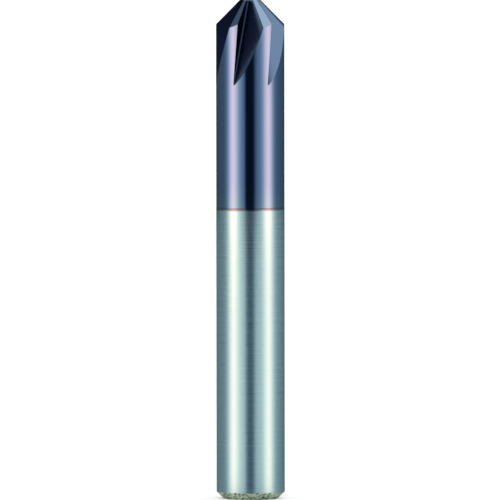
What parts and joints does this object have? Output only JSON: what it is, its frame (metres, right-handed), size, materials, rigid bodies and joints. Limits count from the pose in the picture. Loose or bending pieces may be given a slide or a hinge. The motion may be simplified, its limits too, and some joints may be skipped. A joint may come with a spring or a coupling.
{
  "type": "chamfer mill",
  "caption": "Solid carbide chamfer mill with a plain round shank and a fluted cone with a flat tip, for cutting chamfers and countersinks.",
  "frame": {"origin": "centre of the shank's end face", "axes": "+Z along the tool's axis, from the shank's end to the cutting tip; the side seen in the picture faces -Y"},
  "size_m": [0.01, 0.01, 0.073],
  "materials": {
    "carbide": "satin"
  },
  "bodies": {
    "root": {"chamfer_mill": "carbide"}
  },
  "joints": []
}
